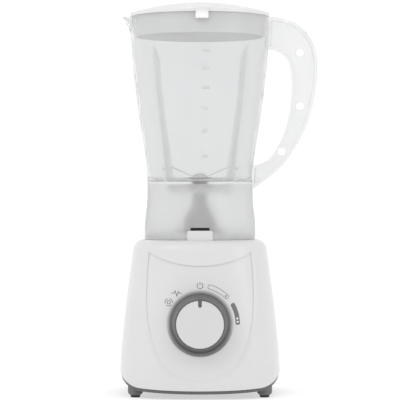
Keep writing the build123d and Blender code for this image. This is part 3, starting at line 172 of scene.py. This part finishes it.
# %% [markdown]
# Moulded plastic is never one flat colour. The mould leaves a fine spark-eroded grain, the colour
# drifts a little from one flow of plastic to the next, and hands leave faint duller patches. One
# function makes all the opaque plastics and rubbers from those three noises.
#
# The knob stands in a round recess that lies in shadow. Soft light from all round hardly darkens
# it, so a darker tint is painted there, in the casing's own material. It is a choice for looks:
# it doesn't move with the lamps.


# %% Plastics and rubber
def moulded(name, colour, roughness, grain=0.00001, grain_scale=2600.0, drift=0.03, shade=None, **uniform):
    """Opaque plastic: colour drift, fine mould grain and a patchy gloss, with an optional painted shade."""
    finish = Finish(name, **uniform)
    place = finish.place()
    flow = finish.noise(place, 24.0, 4.0)
    pores = finish.noise(place, grain_scale, 2.0)
    touch = finish.noise(place, 70.0, 5.0, 0.6)
    darker = tuple(channel * (1 - drift) for channel in colour) + (1.0,)
    lighter = tuple(min(1.0, channel * (1 + drift)) for channel in colour) + (1.0,)
    skin = finish.blend(finish.ramp(flow, (0.3, 0.0), (0.7, 1.0)), darker, lighter)
    if shade:
        skin = finish.blend(shade(finish), skin, grey(SHADE_TINT))
    gloss = roughness * (0.86 + 0.28 * touch)
    return finish.feed(base_color=skin, roughness=gloss, normal=finish.bump(pores, grain))


# Painted shade in the recess behind the knob: its radius, how softly it fades, and the grey painted there.
SHADE_RADIUS = 34.0 * MM
SHADE_FADE = 4.2 * MM
SHADE_TINT = 0.14
PANEL_FRONT = -66.0 * MM
PANEL_FADE = 2.0 * MM


def knob_seat_shade(finish):
    """Factor that is 1 in the recess behind the knob and fades at its rim: where the shade is painted."""
    place = finish.place(centre=knob_centre)
    across = finish.part(place, "X")
    up = finish.part(place, "Z")
    away = (across * across + up * up).maths("POWER", 0.5)
    inside = ((SHADE_RADIUS - away) / SHADE_FADE).clamp()
    front = ((PANEL_FRONT - finish.part(finish.place(), "Y")) / PANEL_FADE).clamp()
    return inside * front


casing_plastic = moulded("casing_plastic", (0.65, 0.65, 0.647), 0.30, drift=0.012, shade=knob_seat_shade,
                         coat_weight=0.15, coat_roughness=0.12)
cover_plastic = moulded("cover_plastic", (0.105, 0.105, 0.108), 0.42, grain=0.00003, drift=0.06)
knob_plastic = moulded("knob_plastic", (0.100, 0.100, 0.103), 0.36, grain=0.00002, drift=0.05)
black_plastic = moulded("black_plastic", (0.022, 0.022, 0.023), 0.40, grain=0.00003, drift=0.15)
disc_plastic = moulded("disc_plastic", (0.03, 0.03, 0.031), 0.55, grain=0.00002, drift=0.1)
foot_rubber = moulded("foot_rubber", (0.012, 0.012, 0.012), 0.72, grain=0.00006,
                      grain_scale=1500.0, drift=0.25)
seal_rubber = moulded("seal_rubber", (0.03, 0.03, 0.03), 0.6, grain=0.00004, drift=0.2)
brush_carbon = moulded("brush_carbon", (0.035, 0.035, 0.038), 0.5, grain=0.00008,
                       grain_scale=1200.0, drift=0.3)
print_ink = moulded("print_ink", (0.16, 0.16, 0.162), 0.5, grain=0.00001, drift=0.05)

# %% [markdown]
# The jug is clear plastic with a milky haze, not glass: what stands behind it shows, a little
# softened, and the skirt below the bowl is frosted. Two shaders are mixed: a clear one that lets
# light through and a milky one that throws it back. The height decides how much milk there is and
# how rough the clear one is. The lid is made in the same way, with much more milk.
#
# The clear shader bends light less than a real plastic does (about 1.5). At the real value the
# ribs inside the jug turn into dark bars, so this too is a choice for looks.

# %% Clear plastics
FROST_LEVEL = 215.0 * MM
PLUG_LEVEL = 385.0 * MM


def hazy(name, tint, white, milk, rough, level, spread, ior):
    """Clear plastic mixed with a milky one; milk and rough give the values above and below a level."""
    finish = Finish(name, transmission_weight=1.0, ior=ior)
    place = finish.place()
    below = ((level - finish.part(place, "Z")) / spread + 0.5).clamp()
    ripple = finish.noise(finish.place(scale=(1, 1, 0.35)), 38.0, 3.0)
    cloud = finish.noise(place, 14.0, 4.0)
    dents = finish.bump(ripple, 0.00005)
    cool = tuple(channel * 0.98 for channel in tint) + (1.0,)
    skin = finish.blend(cloud, cool, (*tint, 1.0))
    gloss = rough[0] + (rough[1] - rough[0]) * below + 0.04 * ripple
    finish.feed(base_color=skin, roughness=gloss, normal=dents)
    flesh = finish.blend(cloud, grey(white * 0.95), grey(white))
    milk_inputs = {"Base Color": flesh, "Roughness": 0.22, "Normal": dents}
    milky = finish.node("ShaderNodeBsdfPrincipled", {}, milk_inputs)
    share = milk[0] + (milk[1] - milk[0]) * below + 0.04 * cloud
    see_through = Socket(finish, finish.shader.outputs[0])
    both = finish.node("ShaderNodeMixShader", {}, {0: share, 1: see_through, 2: milky})
    finish.tree.links.new(both.output, finish.tree.nodes["Material Output"].inputs["Surface"])
    return finish.material


jug_plastic = hazy("jug_plastic", tint=(0.93, 0.935, 0.94), white=0.90, milk=(0.18, 0.26),
                   rough=(0.04, 0.50), level=FROST_LEVEL, spread=16.0 * MM, ior=1.14)
lid_plastic = hazy("lid_plastic", tint=(0.95, 0.95, 0.95), white=0.89, milk=(0.74, 0.95),
                   rough=(0.35, 0.35), level=PLUG_LEVEL, spread=3.0 * MM, ior=1.2)
number_plastic = moulded("number_plastic", (0.55, 0.55, 0.555), 0.35, drift=0.02)

# %% [markdown]
# Metal shows how it was worked. The knob's face is spun, so its lines are rings about the knob's
# axis. The blades are ground along their length, the screws are plated, and the motor's steel is a
# stack of thin sheets.


# %% Metals
def spun(name, colour, centre, roughness):
    """Satin metal with fine rings about an axis along Y."""
    finish = Finish(name, metallic=1.0)
    place = finish.place(centre=centre)
    across = finish.part(place, "X")
    up = finish.part(place, "Z")
    radius = (across * across + up * up).maths("POWER", 0.5)
    rings = finish.noise(finish.node("ShaderNodeCombineXYZ", {}, {0: radius}), 2600.0, 2.0)
    cloud = finish.noise(finish.place(), 60.0, 4.0)
    darker = tuple(channel * 0.93 for channel in colour) + (1.0,)
    skin = finish.blend(rings, darker, (*colour, 1.0))
    return finish.feed(base_color=skin, roughness=roughness + 0.10 * rings + 0.05 * cloud,
                       normal=finish.bump(rings, 0.00001))


def worked(name, colour, roughness, stretch=(1, 1, 1), scale=400.0, mark=0.00001, drift=0.08):
    """Metal with marks drawn out along the directions where stretch is small."""
    finish = Finish(name, metallic=1.0)
    marks = finish.noise(finish.place(scale=stretch), scale, 3.0, 0.6)
    stain = finish.noise(finish.place(), 45.0, 5.0)
    darker = tuple(channel * (1 - drift) for channel in colour) + (1.0,)
    skin = finish.blend(marks * 0.5 + stain * 0.5, darker, (*colour, 1.0))
    gloss = roughness * (0.8 + 0.4 * marks)
    return finish.feed(base_color=skin, roughness=gloss, normal=finish.bump(marks, mark))


def layered(name, colour, pitch, axis, roughness, groove, metallic=1.0):
    """Stacked sheets or wound wire: a line at every pitch along an axis."""
    finish = Finish(name, metallic=metallic)
    along = finish.part(finish.place(), axis)
    wave = (along * (2 * math.pi / pitch)).maths("SINE") * 0.5 + 0.5
    stain = finish.noise(finish.place(), 120.0, 4.0)
    darker = tuple(channel * 0.55 for channel in colour) + (1.0,)
    skin = finish.blend(wave * 0.7 + stain * 0.3, darker, (*colour, 1.0))
    return finish.feed(base_color=skin, roughness=roughness + 0.15 * stain, normal=finish.bump(wave, groove))


knob_metal = spun("knob_metal", (0.68, 0.68, 0.69), knob_centre, 0.32)
blade_steel = worked("blade_steel", (0.62, 0.62, 0.63), 0.22, (0.15, 1, 1), 900.0)
screw_steel = worked("screw_steel", (0.55, 0.55, 0.54), 0.35)
spring_steel = worked("spring_steel", (0.45, 0.45, 0.46), 0.3)
bracket_metal = worked("bracket_metal", (0.50, 0.50, 0.51), 0.5, scale=900.0, mark=0.00005)
bush_bronze = worked("bush_bronze", (0.52, 0.34, 0.16), 0.45, scale=1500.0, mark=0.00003, drift=0.2)
commutator_copper = worked("commutator_copper", (0.62, 0.30, 0.17), 0.28, (1, 1, 3), 600.0)
core_steel = layered("core_steel", (0.36, 0.36, 0.38), 0.5 * MM, "Z", 0.4, 0.00008)
coil_wire = layered("coil_wire", (0.48, 0.17, 0.07), 0.6 * MM, "X", 0.3, 0.00015, metallic=0.6)
armature_wire = layered("armature_wire", (0.48, 0.17, 0.07), 0.6 * MM, "Z", 0.3, 0.00015, metallic=0.6)

# %% [markdown]
# The frame's nodes keep their shape and only take a material. The table reads like a parts list:
# a finish, and the pieces that are made in it.

# %% Give each piece its finish
finishes = {
    casing_plastic: ["base_housing"],
    cover_plastic: ["bottom_cover", "cord_gland"],
    foot_rubber: ["rubber_feet", "motor_mounts"],
    seal_rubber: ["spindle_seal", "bearing_gasket"],
    jug_plastic: ["jug"],
    lid_plastic: ["lid", "filler_cap"],
    knob_plastic: ["knob_body"],
    knob_metal: ["knob_face"],
    black_plastic: ["driven_coupling", "drive_coupling", "bearing_housing", "bearing_locknut", "cooling_fan",
                    "rotary_switch", "brush_holders"],
    disc_plastic: ["splash_disc"],
    blade_steel: ["blade_upper", "blade_lower", "blade_washer", "blade_nut", "blade_spindle"],
    screw_steel: ["bottom_screws", "motor_through_screws", "mount_screws", "switch_nut", "motor_shaft",
                  "switch_spindle"],
    spring_steel: ["brush_spring_front", "brush_spring_rear"],
    bracket_metal: ["lower_bracket", "upper_bracket"],
    bush_bronze: ["spindle_bush_lower", "spindle_bush_upper", "motor_bush_lower", "motor_bush_upper"],
    commutator_copper: ["commutator"],
    core_steel: ["stator_core", "armature_core"],
    coil_wire: ["field_coil_left", "field_coil_right"],
    armature_wire: ["armature_windings"],
    brush_carbon: ["carbon_brushes"],
}
for finish_material, members in finishes.items():
    for member in members:
        nodes[member].data.materials.clear()
        nodes[member].data.materials.append(finish_material)
dressed = {member for members in finishes.values() for member in members}
print("dressed", len(dressed), "nodes; left bare:", sorted(set(nodes) - dressed))

# %% [markdown]
# The scale round the knob is printed on the panel, which is slightly curved. Each mark is drawn
# flat in front of the panel, as a thin sheet in the XZ plane, then pressed onto the panel by a
# Shrinkwrap modifier and given the thickness of a layer of ink by Solidify. `begin` and `press_on`
# open and close that routine.

# %% Helpers for marks that are pressed onto a surface
INK = 0.08 * MM
DRAWING_Y = -0.13
SCALE_RADIUS = 37.5 * MM


def begin(name):
    """Name the object that an operator has just added, and deselect all of its mesh."""
    piece = bpy.context.object
    piece.name = name
    piece.data.name = name
    bpy.ops.object.mode_set(mode="EDIT")
    bpy.ops.mesh.select_all(action="DESELECT")
    bpy.ops.object.mode_set(mode="OBJECT")
    return piece


def pick(piece, test, kind="vertices"):
    """Select the vertices or faces whose place passes the test, and enter edit mode."""
    bpy.ops.object.mode_set(mode="EDIT")
    bpy.ops.mesh.select_mode(type="VERT" if kind == "vertices" else "FACE")
    bpy.ops.mesh.select_all(action="DESELECT")
    bpy.ops.object.mode_set(mode="OBJECT")
    for item in getattr(piece.data, kind):
        item.select = test(item.co if kind == "vertices" else item.center)
    bpy.ops.object.mode_set(mode="EDIT")


def leave():
    bpy.ops.object.mode_set(mode="OBJECT")


def settle(piece):
    """Put a piece's place into its mesh, so that its object stands at the origin."""
    bpy.ops.object.select_all(action="DESELECT")
    piece.select_set(True)
    bpy.context.view_layer.objects.active = piece
    bpy.ops.object.transform_apply(location=True, rotation=True, scale=True)


def use(piece, kind, **settings):
    """Add a modifier, set it and apply it."""
    bpy.context.view_layer.objects.active = piece
    modifier = piece.modifiers.new(kind.title(), kind)
    for key, value in settings.items():
        setattr(modifier, key, value)
    bpy.ops.object.modifier_apply(modifier=modifier.name)


def turned(angle_deg, radius=SCALE_RADIUS):
    """Place on the drawing plane at a clock angle from the knob's top."""
    angle = math.radians(angle_deg)
    return Vector((radius * math.sin(angle), DRAWING_Y, knob_centre.z + radius * math.cos(angle)))


def clock(point, centre):
    """Clock angle in degrees of a point seen from the front, about a centre."""
    return math.degrees(math.atan2(point.x - centre.x, point.z - centre.z))


def press_on(piece, target, lift, thickness):
    """Project a flat drawing along +Y onto a target and give it thickness."""
    settle(piece)
    use(piece, "SHRINKWRAP", target=target, wrap_method="PROJECT", use_project_y=True,
        use_positive_direction=True, use_negative_direction=False, offset=lift)
    bpy.ops.object.mode_set(mode="EDIT")
    bpy.ops.mesh.select_all(action="SELECT")
    bpy.ops.mesh.remove_doubles(threshold=0.005 * MM)
    bpy.ops.mesh.normals_make_consistent(inside=False)
    leave()
    if sum(face.normal.y * face.area for face in piece.data.polygons) > 0:
        bpy.ops.object.mode_set(mode="EDIT")
        bpy.ops.mesh.select_all(action="SELECT")
        bpy.ops.mesh.flip_normals()
        leave()
    use(piece, "SOLIDIFY", thickness=thickness, offset=-1.0 if lift else 1.0)
    piece.select_set(False)


# %% [markdown]
# A band is cut from a circle of vertices: those outside its sweep are deleted, and what stays is
# extruded and scaled outward into a strip. Bevelling its four corner vertices rounds the ends. The
# outlined band is the same strip with its inner faces inset and removed.


# %% Curved bands
def band(name, centre, radius, width, start, stop, corners=0.0, count=180):
    """Strip along an arc about a centre, between two clock angles."""
    bpy.ops.mesh.primitive_circle_add(vertices=count, radius=radius - width / 2, location=centre,
                                      rotation=(math.pi / 2, 0, 0))
    piece = begin(name)
    settle(piece)
    middle = (start + stop) / 2
    half = (stop - start) / 2 + 180.0 / count

    def outside(point):
        away = (clock(point, centre) - middle + 180) % 360 - 180
        return abs(away) > half

    if stop - start < 360:
        pick(piece, outside)
        bpy.ops.mesh.delete(type="VERT")
        leave()
    bpy.ops.object.mode_set(mode="EDIT")
    bpy.ops.mesh.select_mode(type="EDGE")
    bpy.ops.mesh.select_all(action="SELECT")
    bpy.ops.mesh.extrude_region()
    grow = (radius + width / 2) / (radius - width / 2)
    bpy.ops.transform.resize(value=(grow, 1, grow), center_override=centre)
    leave()
    if corners:
        sweep = lambda vertex: abs((clock(vertex.co, centre) - middle + 180) % 360 - 180)
        ends = sorted(piece.data.vertices, key=sweep)[-4:]
        places = [vertex.co.copy() for vertex in ends]
        pick(piece, lambda point: any((point - place).length < 1e-6 for place in places))
        bpy.ops.mesh.bevel(offset=corners, segments=5, affect="VERTICES")
        leave()
    return piece


def hollow_out(piece, line):
    """Leave only a line of the given width round a flat piece's edge."""
    bpy.ops.object.mode_set(mode="EDIT")
    bpy.ops.mesh.select_mode(type="FACE")
    bpy.ops.mesh.select_all(action="SELECT")
    bpy.ops.mesh.inset(thickness=line, use_boundary=True)
    bpy.ops.mesh.delete(type="FACE")
    leave()


def finish_mark(piece, material=None):
    """Press a mark onto the casing's panel, ink it, and let it ride on the base."""
    press_on(piece, nodes["base_housing"], INK, INK)
    piece.data.materials.append(material or print_ink)
    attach(piece, "base")
    print(piece.name, len(piece.data.polygons), "faces")
    return piece


low_band = band("low_speed_band", turned(0, 0), SCALE_RADIUS, 4.6 * MM, 12.7, 48.5, corners=2.1 * MM)
hollow_out(low_band, 0.5 * MM)
finish_mark(low_band)
high_band = band("high_speed_band", turned(0, 0), SCALE_RADIUS, 4.4 * MM, 57.9, 92.3, corners=2.0 * MM)
finish_mark(high_band)

# %% [markdown]
# The dots at the bands' ends are small discs: dark on the outlined band, pale on the filled one.
# A pale dot lies on top of the ink, so it is pressed to a slightly higher level.


# %% Dots
def dot(name, angle_deg, radius, lift, material):
    bpy.ops.mesh.primitive_circle_add(vertices=32, radius=radius, fill_type="TRIFAN",
                                      location=turned(angle_deg), rotation=(math.pi / 2, 0, 0))
    piece = begin(name)
    press_on(piece, nodes["base_housing"], lift, INK)
    piece.data.materials.append(material)
    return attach(piece, "base")


pale_ink = moulded("pale_ink", (0.78, 0.78, 0.78), 0.4, drift=0.02)
dot("low_speed_dot", 43.5, 0.9 * MM, INK, print_ink)
dot("high_speed_dot_1", 82.5, 1.0 * MM, 2 * INK, pale_ink)
dot("high_speed_dot_2", 87.6, 1.0 * MM, 2 * INK, pale_ink)

# %% [markdown]
# The stop mark is the usual sign for off: a ring with a gap at its top and a short bar standing in
# the gap. The ring is a band with a wide sweep, and the bar is a plane, stretched and rounded.

# %% The off sign
OFF_RADIUS = 2.9 * MM
LINE = 0.7 * MM
off_ring = band("off_ring", turned(0), OFF_RADIUS, LINE, 30.0, 330.0, corners=0.2 * MM, count=72)
finish_mark(off_ring)


def stroke(name, centre, width, height, tilt_deg=0.0):
    """Upright rounded bar on the drawing plane."""
    upright = (math.pi / 2, math.radians(tilt_deg), 0)
    bpy.ops.mesh.primitive_plane_add(size=1.0, location=centre, rotation=upright)
    piece = begin(name)
    piece.scale = (width, height, 1.0)
    settle(piece)
    bpy.ops.object.mode_set(mode="EDIT")
    bpy.ops.mesh.select_mode(type="VERT")
    bpy.ops.mesh.select_all(action="SELECT")
    bpy.ops.mesh.bevel(offset=min(width, height) * 0.45, segments=4, affect="VERTICES")
    leave()
    return piece


off_bar = stroke("off_bar", turned(0, SCALE_RADIUS + 1.9 * MM), LINE, 3.4 * MM)
finish_mark(off_bar)

# %% [markdown]
# Left of it stand two more signs: a pulse, drawn as a level line with a spike in it, and a swirl
# that stands for crushing ice. The pulse starts as a strip of squares. Each corner of the strip is
# moved to its place beside a path, with its joints mitred so that the line keeps its width. The
# swirl is a small ring inside a broken one.

# %% The pulse sign
PULSE_ANGLE = -38.0
PULSE_PATH = ((-5.4, 0.0), (-2.6, 0.0), (-1.3, 2.4), (0.4, -2.9), (1.8, 1.5), (2.6, 0.0), (5.4, 0.0))
pulse_middle = turned(PULSE_ANGLE, SCALE_RADIUS + 0.6 * MM)
bpy.ops.mesh.primitive_grid_add(x_subdivisions=len(PULSE_PATH) - 1, y_subdivisions=1, size=1.0,
                                location=pulse_middle, rotation=(math.pi / 2, 0, 0))
pulse = begin("pulse_sign")
pulse.scale = (20 * MM, 20 * MM, 1.0)
settle(pulse)


def mitre(path, index):
    """Offset from a corner of a path to the edge of a line drawn along it, one unit wide."""
    here = Vector(path[index])
    before = (here - Vector(path[max(index - 1, 0)])).normalized()
    after = (Vector(path[min(index + 1, len(path) - 1)]) - here).normalized()
    along = (before + after).normalized()
    across = Vector((-along.y, along.x))
    straight = after if after.length else before
    return across / (2 * abs(across.dot(Vector((-straight.y, straight.x)))))


def by_column(number):
    spot = pulse.data.vertices[number].co
    return spot.x, spot.z


for order, number in enumerate(sorted(range(len(pulse.data.vertices)), key=by_column)):
    column, side = divmod(order, 2)
    offset = mitre(PULSE_PATH, column) * (LINE if side else -LINE)
    across, up = Vector(PULSE_PATH[column]) * MM + offset
    target = pulse_middle + Vector((across, 0, up))
    start = pulse.data.vertices[number].co.copy()
    pick(pulse, lambda point: (point - start).length < 1e-7)
    bpy.ops.transform.translate(value=target - start)
    leave()
finish_mark(pulse)

# %% The swirl sign
SWIRL_ANGLE = -56.0
finish_mark(band("swirl_ring", turned(SWIRL_ANGLE), 1.6 * MM, LINE, 0.0, 360.0, count=48))
for number, start in enumerate((10.0, 130.0, 250.0)):
    arc = band(f"swirl_arc_{number + 1}", turned(SWIRL_ANGLE), 3.6 * MM, LINE, start, start + 88.0,
               corners=0.2 * MM, count=72)
    finish_mark(arc)

# %% [markdown]
# The jug's graduation is moulded into its front. The lines are part of the jug; the numbers are
# added here as thin raised type, which starts as a text object, becomes a mesh, and is pressed
# onto the jug like the ink onto the panel. Their levels, in millimetres, are those at which the
# bowl as modelled holds that many millilitres.

# %% Numbers on the jug
GRADUATION = {"1500": 349.7, "1250": 331.8, "1000": 312.8, "750": 292.3, "500": 269.7, "250": 244.6}
NUMBER_SIZE = 4.4 * MM
NUMBER_DROP = 4.6
NUMBER_LEFT = 1.0 * MM
for word, level_mm in GRADUATION.items():
    corner = (NUMBER_LEFT, DRAWING_Y, (level_mm - NUMBER_DROP) * MM)
    bpy.ops.object.text_add(location=corner, rotation=(math.pi / 2, 0, 0))
    text = bpy.context.object
    text.data.body = word
    text.data.size = NUMBER_SIZE
    text.data.resolution_u = 4
    bpy.ops.object.convert(target="MESH")
    number_piece = begin(f"number_{word}")
    press_on(number_piece, nodes["jug"], 0.25 * MM, 0.3 * MM)
    number_piece.data.materials.append(number_plastic)
    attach(number_piece, "jug")

# %% [markdown]
# The studio is a pale floor and soft light from all round, a little stronger from the upper left,
# as for a catalogue picture. The floor also gives off some light, like a sheet lit from below, so
# that the ground under the feet stays pale. The camera stands level with the middle of the blender
# and far away, with a long lens, so that the sides stay upright.

# %% Studio
FLOOR_GLOW = 0.55
WORLD_STRENGTH = 1.04
bpy.ops.mesh.primitive_plane_add(size=12.0, location=(0, 0, -0.0002))
floor = bpy.context.object
floor.name = "floor"
floor_finish = Finish("floor_paper", emission_color=grey(1.0), emission_strength=FLOOR_GLOW)
floor_grain = floor_finish.noise(floor_finish.place(), 6.0, 3.0)
floor_skin = floor_finish.blend(floor_grain, grey(0.44), grey(0.46))
floor.data.materials.append(floor_finish.feed(base_color=floor_skin, roughness=0.9))

world = bpy.data.worlds.new("studio")
bpy.context.scene.world = world
world.use_nodes = True
world.node_tree.nodes["Background"].inputs["Color"].default_value = (1.0, 1.0, 1.0, 1.0)
world.node_tree.nodes["Background"].inputs["Strength"].default_value = WORLD_STRENGTH


def softbox(name, place, size, power):
    bpy.ops.object.light_add(type="AREA", location=place)
    lamp = bpy.context.object
    lamp.name = name
    lamp.data.shape = "RECTANGLE"
    lamp.data.size = size[0]
    lamp.data.size_y = size[1]
    lamp.data.energy = power
    aim = Vector((0, 0, 0.2)) - Vector(place)
    lamp.rotation_euler = aim.to_track_quat("-Z", "Y").to_euler()


softbox("key_light", (-1.1, -1.3, 1.5), (1.0, 1.0), 5.5)
softbox("fill_light", (1.6, -1.0, 0.9), (0.8, 1.2), 2.5)

CAMERA_PLACE = (0, -2.06, 0.1977)
bpy.ops.object.camera_add(location=CAMERA_PLACE, rotation=(math.pi / 2, 0, 0))
camera = bpy.context.object
camera.data.lens = 180.0
camera.data.sensor_width = 36.0
camera.data.clip_end = 50.0
bpy.context.scene.camera = camera
bpy.context.scene.view_settings.view_transform = "Standard"
